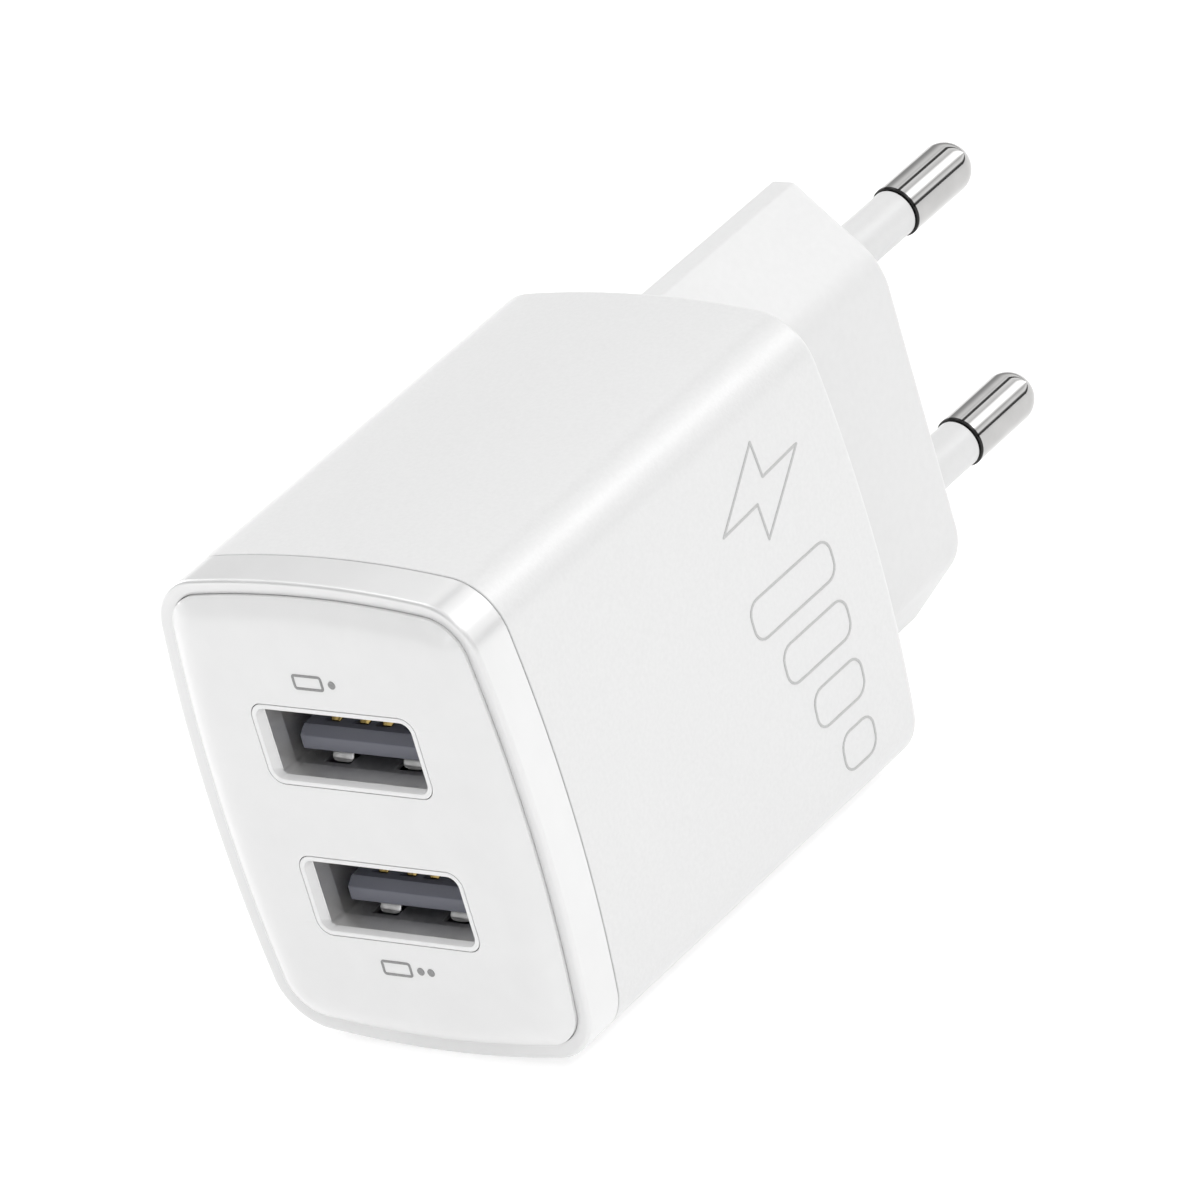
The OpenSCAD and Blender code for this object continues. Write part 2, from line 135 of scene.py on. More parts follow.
# ---------------------------------------------------------------- outlines
def arc(centre, radius, start, end, steps):
    """Points along an arc, angles in radians."""
    return [
        Vector((
            centre[0] + radius * math.cos(start + (end - start) * i / steps),
            centre[1] + radius * math.sin(start + (end - start) * i / steps),
        ))
        for i in range(steps + 1)
    ]


def circle_meet(p, rp, q, rq):
    """The crossing of two circles that lies in the +X +Z quarter."""
    p, q = Vector(p), Vector(q)
    gap = q - p
    d = gap.length
    a = (rp * rp - rq * rq + d * d) / (2 * d)
    h = math.sqrt(rp * rp - a * a)
    u = gap / d
    return p + a * u + h * Vector((-u.y, u.x))


def case_outline(inset):
    """The bowed case outline moved inwards by inset, counterclockwise in X and Z."""
    side_r = (HALF_H ** 2 + SIDE_BOW ** 2) / (2 * SIDE_BOW)
    end_r = (HALF_W ** 2 + END_BOW ** 2) / (2 * END_BOW)
    side_c = Vector((HALF_W - side_r, 0))
    end_c = Vector((0, HALF_H - end_r))
    r = max(CORNER_R - inset, LEAST_CORNER_R)
    side_r -= inset
    end_r -= inset
    c = circle_meet(side_c, side_r - r, end_c, end_r - r)
    a = math.atan2((c - side_c).y, (c - side_c).x)
    b = math.atan2((c - end_c).y, (c - end_c).x)
    quarter = arc(side_c, side_r, 0, a, BOW_STEPS)
    quarter += arc(c, r, a, b, CORNER_STEPS)[1:]
    quarter += arc(end_c, end_r, b, math.pi / 2, BOW_STEPS)[1:]
    upper = quarter + [Vector((-p.x, p.y)) for p in reversed(quarter[:-1])]
    lower = [Vector((p.x, -p.y)) for p in reversed(upper[1:-1])]
    return upper + lower


def soft_path(points, radii, steps=ARC_STEPS, closed=True):
    """A path whose corners are rounded by arcs, one radius per point."""
    out = []
    n = len(points)
    for i, (point, radius) in enumerate(zip(points, radii)):
        v = Vector(point)
        if radius == 0 or (not closed and i in (0, n - 1)):
            out.append(v)
            continue
        a = (Vector(points[i - 1]) - v).normalized()
        b = (Vector(points[(i + 1) % n]) - v).normalized()
        half = a.angle(b) / 2
        centre = v + (a + b).normalized() * (radius / math.sin(half))
        start = v + a * (radius / math.tan(half)) - centre
        end = v + b * (radius / math.tan(half)) - centre
        a0 = math.atan2(start.y, start.x)
        turn = (math.atan2(end.y, end.x) - a0 + math.pi) % (2 * math.pi) - math.pi
        out += arc(centre, radius, a0, a0 + turn, steps)
    return out


def rounded_rect(w, h, r, z):
    """A rectangle with rounded corners about the height z."""
    x, y = w / 2, h / 2
    corners = [(-x, z - y), (x, z - y), (x, z + y), (-x, z + y)]
    return soft_path(corners, [r] * 4, steps=8)


def circle(r, z, steps=64):
    """A circle of radius r about a point on the middle plane at the height z."""
    return [
        Vector((r * math.cos(2 * math.pi * i / steps), z + r * math.sin(2 * math.pi * i / steps)))
        for i in range(steps)
    ]


def plug_outline(grow):
    """The plug block's outline: two flat sides, four slanted ones and two narrow end flats."""
    slant = math.tan(math.radians(22.5))
    x = PLUG_HALF_W + grow
    z = PLUG_HALF_H + grow
    side_z = PLUG_SIDE_Z + grow * slant
    flat_x = PLUG_END_HALF_W + grow * slant
    points = [
        (x, -side_z), (x, side_z), (flat_x, z), (-flat_x, z),
        (-x, side_z), (-x, -side_z), (-flat_x, -z), (flat_x, -z),
    ]
    side_r = PLUG_SIDE_R + grow
    radii = [side_r, side_r, PLUG_END_R, PLUG_END_R] * 2
    return soft_path(points, radii, steps=12)


# ---------------------------------------------------------------- mesh code
def ring(bm, outline, y):
    """One ring of vertices: an outline in X and Z at the station y."""
    return [bm.verts.new((p.x * MM, y * MM, p.y * MM)) for p in outline]


def skin(bm, rings, closed=False):
    """Quads between neighbouring rings, and from the last to the first if closed."""
    pairs = list(zip(rings, rings[1:]))
    if closed:
        pairs.append((rings[-1], rings[0]))
    for low, high in pairs:
        n = len(low)
        for i in range(n):
            j = (i + 1) % n
            bm.faces.new((low[i], low[j], high[j], high[i]))


def inside(point, outline):
    """Is a point of the X Z plane inside an outline?"""
    hit = False
    for a, b in zip(outline, outline[1:] + outline[:1]):
        if (a.y > point.y) != (b.y > point.y):
            if point.x < (b.x - a.x) * (point.y - a.y) / (b.y - a.y) + a.x:
                hit = not hit
    return hit


def flat_face(bm, outer, holes=()):
    """Fills the flat area inside the ring outer and outside the rings in holes."""
    verts = list(outer)
    edges = []
    for loop in [outer, *holes]:
        start = len(verts) if loop is not outer else 0
        if loop is not outer:
            verts += loop
        n = len(loop)
        edges += [(start + i, start + (i + 1) % n) for i in range(n)]
    flat = [Vector((v.co.x, v.co.z)) for v in verts]
    rims = [[Vector((v.co.x, v.co.z)) for v in loop] for loop in holes]
    made = geometry.delaunay_2d_cdt(flat, edges, [], 1, 1e-9)
    source = [origin[0] for origin in made[3]]
    for face in made[2]:
        middle = sum((made[0][i] for i in face), Vector((0, 0))) / len(face)
        if not any(inside(middle, rim) for rim in rims):
            bm.faces.new([verts[source[i]] for i in face])


def case_skin(bm, path, closed=False):
    """A skin over case outlines; path gives pairs of inset and station."""
    rings = [ring(bm, case_outline(p.x), p.y) for p in path]
    skin(bm, rings, closed)
    return rings


def lathe(bm, path, z, closed=False):
    """A turned shape about an axis along Y at the height z; path gives pairs of radius and station."""
    rings = [ring(bm, circle(p.x, z), p.y) for p in path]
    skin(bm, rings, closed)
    return rings


def to_object(bm, name, material):
    """Turns a finished bmesh into an object with one material."""
    mesh = bpy.data.meshes.new(name)
    bmesh.ops.remove_doubles(bm, verts=bm.verts, dist=1e-8)
    bmesh.ops.recalc_face_normals(bm, faces=bm.faces)
    bm.to_mesh(mesh)
    bm.free()
    mesh.materials.append(material)
    piece = bpy.data.objects.new(name, mesh)
    bpy.context.collection.objects.link(piece)
    return piece


def smooth(piece, sharp_angle=35):
    """Smooth shading with creases kept, and normals led by the large faces."""
    mesh = piece.data
    mesh.polygons.foreach_set("use_smooth", [True] * len(mesh.polygons))
    mesh.set_sharp_from_angle(angle=math.radians(sharp_angle))
    modifier = piece.modifiers.new("weighted normals", "WEIGHTED_NORMAL")
    modifier.keep_sharp = True


def bevel(piece, width, segments=3, angle=40):
    """Rounds the edges sharper than the angle, with a width in millimetres."""
    modifier = piece.modifiers.new("edges", "BEVEL")
    modifier.width = width * MM
    modifier.segments = segments
    modifier.limit_method = "ANGLE"
    modifier.angle_limit = math.radians(angle)


def cut(piece, cutters):
    """Cuts the cutters' shapes out of a piece and removes the cutters."""
    for cutter in cutters:
        modifier = piece.modifiers.new("cut", "BOOLEAN")
        modifier.operation = "DIFFERENCE"
        modifier.solver = "EXACT"
        modifier.object = cutter
    graph = bpy.context.evaluated_depsgraph_get()
    mesh = bpy.data.meshes.new_from_object(piece.evaluated_get(graph))
    piece.modifiers.clear()
    old = piece.data
    piece.data = mesh
    bpy.data.meshes.remove(old)
    for cutter in cutters:
        bpy.data.objects.remove(cutter, do_unlink=True)


def block(bm, low, high):
    """A box between two corners given in millimetres."""
    size = Vector(high) - Vector(low)
    middle = (Vector(high) + Vector(low)) / 2
    matrix = Matrix.Translation(middle * MM) @ Matrix.Diagonal((*(size * MM), 1))
    bmesh.ops.create_cube(bm, size=1, matrix=matrix)


def prism(bm, outline, x0, x1):
    """A shape whose outline in Y and Z runs along X."""
    ends = [[bm.verts.new((x * MM, p[0] * MM, p[1] * MM)) for p in outline] for x in (x0, x1)]
    skin(bm, ends)
    for end in ends:
        bm.faces.new(end)


def strip(bm, path, half_width, thickness, x):
    """A bent metal strip: path in Y and Z, half_width(t) gives its half width along it."""
    n = len(path)
    rings = []
    chamfer = thickness * 0.3
    for i, p in enumerate(path):
        ahead, behind = path[min(i + 1, n - 1)], path[max(i - 1, 0)]
        along = (ahead - behind).normalized()
        up = Vector((-along.y, along.x)) * (thickness / 2)
        w = half_width(i / (n - 1))
        e = min(chamfer, w * 0.5)
        f = 1 - 2 * chamfer / thickness
        section = [
            (-w, -f), (-w + e, -1), (w - e, -1), (w, -f),
            (w, f), (w - e, 1), (-w + e, 1), (-w, f),
        ]
        rings.append([
            bm.verts.new(((x + a) * MM, (p.x + b * up.x) * MM, (p.y + b * up.y) * MM))
            for a, b in section
        ])
    skin(bm, rings)
    bm.faces.new(rings[0])
    bm.faces.new(rings[-1])


def curve_through(points, steps=6):
    """A smooth path through points in Y and Z."""
    points = [Vector(p) for p in points]
    ends = [2 * points[0] - points[1], *points, 2 * points[-1] - points[-2]]
    out = [points[0]]
    for a, b, c, d in zip(ends, ends[1:], ends[2:], ends[3:]):
        for i in range(1, steps + 1):
            t = i / steps
            out.append(0.5 * (
                2 * b + (c - a) * t + (2 * a - 5 * b + 4 * c - d) * t ** 2
                + (3 * b - a - 3 * c + d) * t ** 3
            ))
    return out


# ---------------------------------------------------------------- materials
# A noise lies mostly between these two values, which stand for its low and high ends
NOISE_LOW = 0.3
NOISE_HIGH = 0.7


def shade(value):
    """An even grey, or white at 1."""
    return (value, value, value, 1)


class Look:
    """A procedural material whose colour, gloss and fine relief can each follow a noise."""

    def __init__(self, name):
        self.material = bpy.data.materials.new(name)
        self.material.use_nodes = True
        self.nodes = self.material.node_tree.nodes
        self.links = self.material.node_tree.links
        self.shader = self.nodes["Principled BSDF"]
        self.place = self.nodes.new("ShaderNodeTexCoord")

    def value(self, name, value):
        """Sets one socket of the shader."""
        self.shader.inputs[name].default_value = value

    def noise(self, size_mm, detail, rough=0.5, stretch=(1, 1, 1)):
        """Noise whose features are about size_mm across."""
        mapping = self.nodes.new("ShaderNodeMapping")
        mapping.inputs["Scale"].default_value = stretch
        noise = self.nodes.new("ShaderNodeTexNoise")
        noise.inputs["Scale"].default_value = 1 / (size_mm * MM)
        noise.inputs["Detail"].default_value = detail
        noise.inputs["Roughness"].default_value = rough
        self.links.new(self.place.outputs["Object"], mapping.inputs["Vector"])
        self.links.new(mapping.outputs["Vector"], noise.inputs["Vector"])
        return noise.outputs["Fac"]

    def colour(self, low, high, source):
        """Blends between two colours by a noise."""
        ramp = self.nodes.new("ShaderNodeValToRGB")
        ramp.color_ramp.elements[0].position = NOISE_LOW
        ramp.color_ramp.elements[0].color = low
        ramp.color_ramp.elements[1].position = NOISE_HIGH
        ramp.color_ramp.elements[1].color = high
        self.links.new(source, ramp.inputs["Fac"])
        self.links.new(ramp.outputs["Color"], self.shader.inputs["Base Color"])

    def gloss(self, low, high, source):
        """Varies the roughness between two values by a noise."""
        span = self.nodes.new("ShaderNodeMapRange")
        span.inputs["From Min"].default_value = NOISE_LOW
        span.inputs["From Max"].default_value = NOISE_HIGH
        span.inputs["To Min"].default_value = low
        span.inputs["To Max"].default_value = high
        self.links.new(source, span.inputs["Value"])
        self.links.new(span.outputs["Result"], self.shader.inputs["Roughness"])

    def bump(self, height, source):
        """Raises the surface by a noise, up to a height in millimetres."""
        bump = self.nodes.new("ShaderNodeBump")
        bump.inputs["Strength"].default_value = 1
        bump.inputs["Distance"].default_value = height * MM
        self.links.new(source, bump.inputs["Height"])
        self.links.new(bump.outputs["Normal"], self.shader.inputs["Normal"])


def painted_rim_shade(material, start, end, level):
    """Paints shade into a metal's colour: darker to a level up to start, along Y, reaching its own colour by
    end.
    """
    nodes, links = material.node_tree.nodes, material.node_tree.links
    shader = nodes["Principled BSDF"]
    colour = shader.inputs["Base Color"].links[0].from_socket
    coords = nodes.new("ShaderNodeTexCoord")
    axes = nodes.new("ShaderNodeSeparateXYZ")
    links.new(coords.outputs["Object"], axes.inputs["Vector"])
    fade = nodes.new("ShaderNodeMapRange")
    fade.inputs["From Min"].default_value = start * MM
    fade.inputs["From Max"].default_value = end * MM
    fade.inputs["To Min"].default_value = level
    fade.inputs["To Max"].default_value = 1
    links.new(axes.outputs["Y"], fade.inputs["Value"])
    darker = nodes.new("ShaderNodeVectorMath")
    darker.operation = "SCALE"
    links.new(colour, darker.inputs[0])
    links.new(fade.outputs["Result"], darker.inputs["Scale"])
    links.new(darker.outputs["Vector"], shader.inputs["Base Color"])


def tint(value, warm=0.0):
    """A near-neutral colour, warmer above zero and cooler below."""
    return (value * (1 + warm), value, value * (1 - warm), 1)


def plastic(name, colour, rough, grain=0.25, grain_height=0.002, spread=0.012, coat=0.0,
            metallic=0.0, specular=0.5):
    """Moulded plastic: faint mottling, grain of the mould and uneven gloss."""
    look = Look(name)
    mottle_mm = grain * 1.4
    gloss_patch_mm = 3
    uneven = 0.08
    dark = tuple(c * (1 - spread) for c in colour[:3]) + (1,)
    pale = tuple(min(c * (1 + spread), 1) for c in colour[:3]) + (1,)
    look.colour(dark, pale, look.noise(mottle_mm, 4))
    look.gloss(rough * (1 - uneven), rough * (1 + uneven), look.noise(gloss_patch_mm, 2))
    look.bump(grain_height, look.noise(grain, 4, 0.6))
    look.value("Metallic", metallic)
    look.value("Specular IOR Level", specular)
    if coat:
        look.value("Coat Weight", coat)
        look.value("Coat Roughness", 0.04)
    return look.material


def metal(name, colour, rough, grain=0.12, grain_height=0.001, stretch=(1, 1, 1)):
    """Bare or plated metal with a fine drawn or rolled grain."""
    look = Look(name)
    cloud_mm = 1.5
    cloud_shade = 0.93
    smoother, rougher = 0.85, 1.2
    dark = tuple(c * cloud_shade for c in colour[:3]) + (1,)
    grain_noise = look.noise(grain, 4, 0.6, stretch)
    look.colour(dark, colour, look.noise(cloud_mm, 3))
    look.gloss(rough * smoother, rough * rougher, grain_noise)
    look.bump(grain_height, grain_noise)
    look.value("Metallic", 1)
    return look.material


LOOKS = {
    "sleeve_white": plastic("sleeve white", tint(0.67), 0.33, grain=0.22, grain_height=0.012, spread=0.02,
                            specular=1.0),
    "ring_gloss": plastic("ring gloss", tint(0.74), 0.31, grain=2.5, grain_height=0.0003, coat=0.3,
                          metallic=0.4),
    "panel_gloss": plastic("panel gloss", tint(0.78), 0.14, grain=2.0, grain_height=0.0005, coat=0.4),
    "frame_white": plastic("frame white", tint(0.82), 0.3, grain=0.5, grain_height=0.001),
    "plug_white": plastic("plug white", tint(0.67), 0.36, grain=0.4, grain_height=0.003),
    "pin_sleeve_white": plastic("pin sleeve white", tint(0.64), 0.36, grain=0.4, grain_height=0.002),
    "pin_nickel": metal("pin nickel", tint(0.48, 0.01), 0.07, grain=0.3, grain_height=0.0002,
                        stretch=(1, 0.1, 1)),
    "socket_steel": metal("socket steel", tint(0.82, 0.005), 0.42, grain=0.2, stretch=(1, 0.2, 1)),
    "spring_steel": metal("spring steel", tint(0.93), 0.38, grain=0.2, stretch=(1, 0.2, 1)),
    "tongue_slate": plastic("tongue slate", (0.12, 0.125, 0.155, 1), 0.3, grain=0.15, grain_height=0.002),
    "contact_gold": metal("contact gold", (0.85, 0.62, 0.22, 1), 0.22, grain=0.15),
    "ink_grey": plastic("ink grey", tint(0.27), 0.6, grain=0.1, spread=0.12),
    "line_grey": plastic("line grey", tint(0.46), 0.6, grain=0.1, spread=0.08),
    "board_green": plastic("board green", (0.012, 0.09, 0.035, 1), 0.35, grain=0.4, spread=0.2, coat=0.3),
    "strip_brass": metal("strip brass", (0.75, 0.55, 0.28, 1), 0.3),
    "sheet_white": plastic("sheet white", tint(0.7), 0.5, grain=0.3),
    "ferrite": plastic("ferrite", tint(0.045), 0.55, grain=0.2, grain_height=0.01, spread=0.2),
    "bobbin_black": plastic("bobbin black", tint(0.02), 0.4, spread=0.2),
    "winding_copper": metal("winding copper", (0.8, 0.38, 0.18, 1), 0.3, grain=0.3, grain_height=0.05,
                            stretch=(4, 1, 1)),
    "tape_yellow": plastic("tape yellow", (0.75, 0.52, 0.06, 1), 0.3, spread=0.06, coat=0.3),
    "capacitor_navy": plastic("capacitor navy", (0.012, 0.02, 0.075, 1), 0.3, spread=0.1, coat=0.2),
    "capacitor_green": plastic("capacitor green", (0.01, 0.1, 0.06, 1), 0.3, spread=0.1, coat=0.2),
    "disc_blue": plastic("disc blue", (0.03, 0.16, 0.42, 1), 0.4, spread=0.1),
    "choke_black": plastic("choke black", tint(0.02), 0.45, spread=0.2),
    "resistor_tan": plastic("resistor tan", (0.55, 0.4, 0.24, 1), 0.45, spread=0.08),
    "chip_black": plastic("chip black", tint(0.018), 0.5, spread=0.2),
    "chip_tan": plastic("chip tan", (0.45, 0.33, 0.22, 1), 0.5, spread=0.1),
}
# Painted shade: the rim of each pin's bare end, next to its sleeve, sits in its own shade, which is painted
# darker into its colour
painted_rim_shade(LOOKS["pin_nickel"], start=SLEEVE_END + 0.16, end=SLEEVE_END + 0.2, level=0.08)


def place(piece, slot, body, *nodes):
    """Rides a piece on its body and lets it stand for its CAD nodes."""
    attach(piece, body)
    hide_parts(*nodes)


# ---------------------------------------------------------------- case
def build_sleeve():
    """The outer sleeve: bowed walls, a rounded back edge and a mouth that the plug block fills."""
    bm = bmesh.new()
    front = SEAM + SEAM_GAP
    back_round = 0.6
    mouth_gap = 0.03
    corner_fill = 1
    inner_back = SHELL_BACK - WALL
    path = soft_path(
        [(back_round, inner_back), (WALL, inner_back - corner_fill), (WALL, front), (0, front),
         (0, SHELL_BACK), (back_round, SHELL_BACK)],
        [0, 0, 0, 0.1, back_round - 0.01, 0], steps=7, closed=False)
    rings = case_skin(bm, path)
    mouth = [ring(bm, plug_outline(mouth_gap), y) for y in (SHELL_BACK, inner_back)]
    skin(bm, mouth)
    flat_face(bm, rings[-1], [mouth[0]])
    flat_face(bm, rings[0], [mouth[1]])
    piece = to_object(bm, "outer_sleeve", LOOKS["sleeve_white"])
    smooth(piece)
    place(piece, "sleeve_white", BODY, "main_shell")


def build_front_ring():
    """The glossy ring: a slanted lip, a ledge for the panel and a spigot inside the sleeve."""
    bm = bmesh.new()
    lip_slant = 0.25
    ledge = PANEL_BACK + 0.1
    spigot_inset = WALL + 0.05
    rear = SEAM - SEAM_GAP
    path = soft_path(
        [(0, rear), (0, LIP), (LIP_INSET, LIP + lip_slant), (LIP_INSET + 0.02, ledge), (LEDGE_INSET, ledge),
         (LEDGE_INSET, SPIGOT_END), (spigot_inset, SPIGOT_END), (spigot_inset, rear)],
        [0.08, 0.3, 0.09, 0, 0, 0.2, 0.2, 0], steps=7)
    case_skin(bm, path, closed=True)
    piece = to_object(bm, "front_ring_gloss", LOOKS["ring_gloss"])
    smooth(piece)
    place(piece, "ring_gloss", BODY, "front_ring")


def build_front_panel():
    """A crowned panel: rounded shoulders all round a flat middle with two openings."""
    bm = bmesh.new()
    edge_y = LIP + 0.03
    steps = 18
    fullness = 2.4
    width = CROWN_INSET - PANEL_INSET
    path = [Vector((PANEL_INSET, PANEL_BACK))]
    for i in range(steps + 1):
        along = i / steps
        path.append(Vector((PANEL_INSET + width * along, FACE + (edge_y - FACE) * (1 - along) ** fullness)))
    rings = case_skin(bm, path)
    w, h, r = PORT_FRAME
    soft = EDGE_SOFT
    mid = EDGE_SOFT * EDGE_MIDDLE
    fronts, backs = [], []
    for z in (PORT_Z, -PORT_Z):
        rims = [
            ring(bm, rounded_rect(w + 2 * soft, h + 2 * soft, r + soft, z), FACE),
            ring(bm, rounded_rect(w + 2 * mid, h + 2 * mid, r + mid, z), FACE + mid),
            ring(bm, rounded_rect(w, h, r, z), FACE + soft),
            ring(bm, rounded_rect(w, h, r, z), PANEL_BACK),
        ]
        skin(bm, rims)
        fronts.append(rims[0])
        backs.append(rims[-1])
    flat_face(bm, rings[-1], fronts)
    flat_face(bm, rings[0], backs)
    piece = to_object(bm, "crowned_panel", LOOKS["panel_gloss"])
    smooth(piece)
    place(piece, "panel_gloss", BODY, "front_panel")


def build_port_frame(port, z):
    """A frame round a port: a narrow land, then a chamfer down to the socket shell."""
    bm = bmesh.new()
    w, h, r = PORT_FRAME
    w, h, r = w - 2 * GROOVE, h - 2 * GROOVE, r - GROOVE
    soft = EDGE_SOFT
    mid = EDGE_SOFT * EDGE_MIDDLE
    under_lip = SOCKET + 0.04
    shell_seat = (13.26, 5.88, 0.5)
    # Width, height, corner radius and station: outside, land, chamfer, then the lip over the shell
    stations = [
        (w, h, r, PANEL_BACK),
        (w, h, r, FACE + soft),
        (w - 2 * mid, h - 2 * mid, r - mid, FACE + mid),
        (w - 2 * soft, h - 2 * soft, r - soft, FACE),
        (13.68, 5.68, 0.86, FACE),
        (13.58, 5.6, 0.84, FACE + 0.03),
        (13.5, 5.56, 0.8, FACE + 0.12),
        (12.94, 5.42, 0.5, SOCKET - 0.06),
        (12.9, 5.4, 0.48, SOCKET),
        (12.96, 5.46, 0.5, under_lip),
    ]
    rings = [ring(bm, rounded_rect(a, b, c, z), y) for a, b, c, y in stations]
    skin(bm, rings)
    inner = ring(bm, rounded_rect(*shell_seat, z), under_lip)
    back = ring(bm, rounded_rect(*shell_seat, z), PANEL_BACK)
    skin(bm, [rings[-1], inner, back, rings[0]])
    piece = to_object(bm, "port_surround_" + port, LOOKS["frame_white"])
    smooth(piece)
    place(piece, "frame_white", BODY, "port_frame_" + port)


# ---------------------------------------------------------------- sockets
def build_socket_shell(port, z):
    """A stamped shell: a slanted lead-in, plain walls and windows for the springs."""
    bm = bmesh.new()
    lead_end = SOCKET + 1.3
    # Width, height, corner radius and station: outside wall, rolled mouth, lead-in, inside wall
    stations = [
        (13.2, 5.82, 0.45, SOCKET_BACK),
        (13.2, 5.82, 0.45, SOCKET + 0.06),
        (13.1, 5.72, 0.42, SOCKET + 0.01),
        (12.95, 5.6, 0.4, SOCKET + 0.01),
        (12.86, 5.48, 0.36, SOCKET + 0.06),
        (12.5, 5.12, 0.22, lead_end),
        (12.6, 5.22, 0.24, lead_end + 0.01),
        (12.6, 5.22, 0.24, INSULATOR_BACK),
        (12.6, 5.22, 0.24, SOCKET_BACK),
    ]
    skin(bm, [ring(bm, rounded_rect(a, b, c, z), y) for a, b, c, y in stations], closed=True)
    piece = to_object(bm, "socket_shell_" + port, LOOKS["socket_steel"])
    window_front = FACE + 2.4
    window_back = SOCKET_BACK - 3.6
    past_walls = 4
    cutters = []
    for x in SPRING_X:
        cutter_bm = bmesh.new()
        block(cutter_bm, (x - WINDOW_W / 2, window_front, z - past_walls),
              (x + WINDOW_W / 2, window_back, z + past_walls))
        cutter = to_object(cutter_bm, "window", LOOKS["socket_steel"])
        cutters.append(cutter)
    cut(piece, cutters)
    smooth(piece, 25)
    place(piece, "socket_steel", BODY, "usb_shell_" + port)


def build_tongue(port, z):
    """The tongue with a slot under each contact, and the insulator that it stands out from."""
    bm = bmesh.new()
    front = TONGUE_FRONT
    body_y = INSULATOR_BACK - 2.2
    root = body_y + 1
    tongue_w = 11.1
    thickness = 1.6
    chamfer_drop, chamfer_run = 0.55, 0.7
    outline = [
        (front, z - thickness), (front, z - chamfer_drop), (front + chamfer_run, z),
        (root, z), (root, z - thickness),
    ]
    prism(bm, outline, -tongue_w / 2, tongue_w / 2)
    piece = to_object(bm, "tongue_" + port, LOOKS["tongue_slate"])
    slot_front = front + 1.3
    slot_half_w = 0.65
    slot_depth = 0.75
    past_top = 1
    cutters = []
    for x in CONTACT_X:
        cutter_bm = bmesh.new()
        block(cutter_bm, (x - slot_half_w, slot_front, z - slot_depth),
              (x + slot_half_w, body_y, z + past_top))
        cutters.append(to_object(cutter_bm, "slot", LOOKS["tongue_slate"]))
    cut(piece, cutters)
    body_bm = bmesh.new()
    half_w, half_h = 6.2, 2.51
    block(body_bm, (-half_w, body_y, z - half_h), (half_w, INSULATOR_BACK, z + half_h))
    body = to_object(body_bm, "insulator_" + port, LOOKS["tongue_slate"])
    for part in (piece, body):
        bevel(part, 0.07)
        smooth(part)
        place(part, "tongue_slate", BODY, "usb_tongue_" + port)


def build_contacts(port, z):
    """Four sprung contacts: flat along the tongue, with a hump near the tip."""
    bm = bmesh.new()
    tip = TONGUE_FRONT + 1.7
    root = SOCKET_BACK - 3.2
    hump = 0.175
    low, high = z - hump, z + hump
    path = curve_through([
        (root, low), (tip + 3.4, low), (tip + 2.1, low + 0.03), (tip + 1.0, high), (tip + 0.55, high - 0.1),
        (tip, low - 0.05),
    ])
    blade, narrowing, tip_share, thickness = 0.5, 0.12, 0.1, 0.22

    # The blade's half width, which narrows over the last share of its length
    def half_width(t):
        return blade - narrowing * max(0.0, (t - (1 - tip_share)) / tip_share)

    for x in CONTACT_X:
        strip(bm, path, half_width, thickness, x)
    piece = to_object(bm, "contact_beams_" + port, LOOKS["contact_gold"])
    smooth(piece, 50)
    place(piece, "contact_gold", "contacts_" + port, "usb_contacts_" + port)


def build_springs(port, z, place_name, side):
    """Two leaf springs: flat roots, a soft hump towards the plug and a rounded free end."""
    bm = bmesh.new()
    tip = FACE + 3.1
    root = SOCKET_BACK - 3.7
    wall = SHELL_INSIDE_HALF_H + SHELL_STEEL
    # Stations, and heights from the port's middle, from the root to the free end
    points = [
        (root, wall - 0.11), (root - 1.2, wall - 0.14), (tip + 2.5, 2.3), (tip + 1.4, 2.06),
        (tip + 0.75, 2.08), (tip + 0.36, 2.3), (tip + 0.12, 2.62), (tip, 2.92),
    ]
    path = [Vector((p.x, z + side * p.y)) for p in curve_through(points, 8)]
    length = root - tip
    blade, narrowing, round_len, thickness = 0.92, 0.5, 0.9, 0.2

    # The blade's half width, which follows an arc over the rounded end
    def half_width(t):
        left = (1 - t) * length
        if left >= round_len:
            return blade
        return blade - narrowing * (1 - math.sqrt(1 - (1 - left / round_len) ** 2))

    for x in SPRING_X:
        strip(bm, path, half_width, thickness, x)
    name = place_name + "_springs_" + port
    piece = to_object(bm, "leaf_" + name, LOOKS["spring_steel"])
    smooth(piece, 50)
    place(piece, "spring_steel", name, "usb_" + name)


# ---------------------------------------------------------------- plug
def build_plug_block():
    """The plug block: a soft edge round its face, and a countersunk hole for each pin sleeve."""
    bm = bmesh.new()
    edge = 0.5
    side = -PLUG_CLEARANCE
    start = SHELL_BACK - WALL - 1.5
    path = soft_path([(side, start), (side, 0), (side - edge, 0)], [0, edge - 0.01, 0], steps=7, closed=False)
    rings = [ring(bm, plug_outline(p.x), p.y) for p in path]
    skin(bm, rings)
    hole_r = SLEEVE_R + 0.03
    hole = [Vector(p) for p in ((2.15, 0), (1.95, -0.06), (hole_r, -0.2), (hole_r, -2.9))]
    mouths, floors = [], []
    for z in (PIN_Z, -PIN_Z):
        rims = lathe(bm, hole, z)
        mouths.append(rims[0])
        floors.append(rims[-1])
    flat_face(bm, rings[-1], mouths)
    for floor_ring in floors:
        flat_face(bm, floor_ring)
    flat_face(bm, rings[0])
    piece = to_object(bm, "plug_body", LOOKS["plug_white"])
    smooth(piece)
    place(piece, "plug_white", BODY, "plug_block")


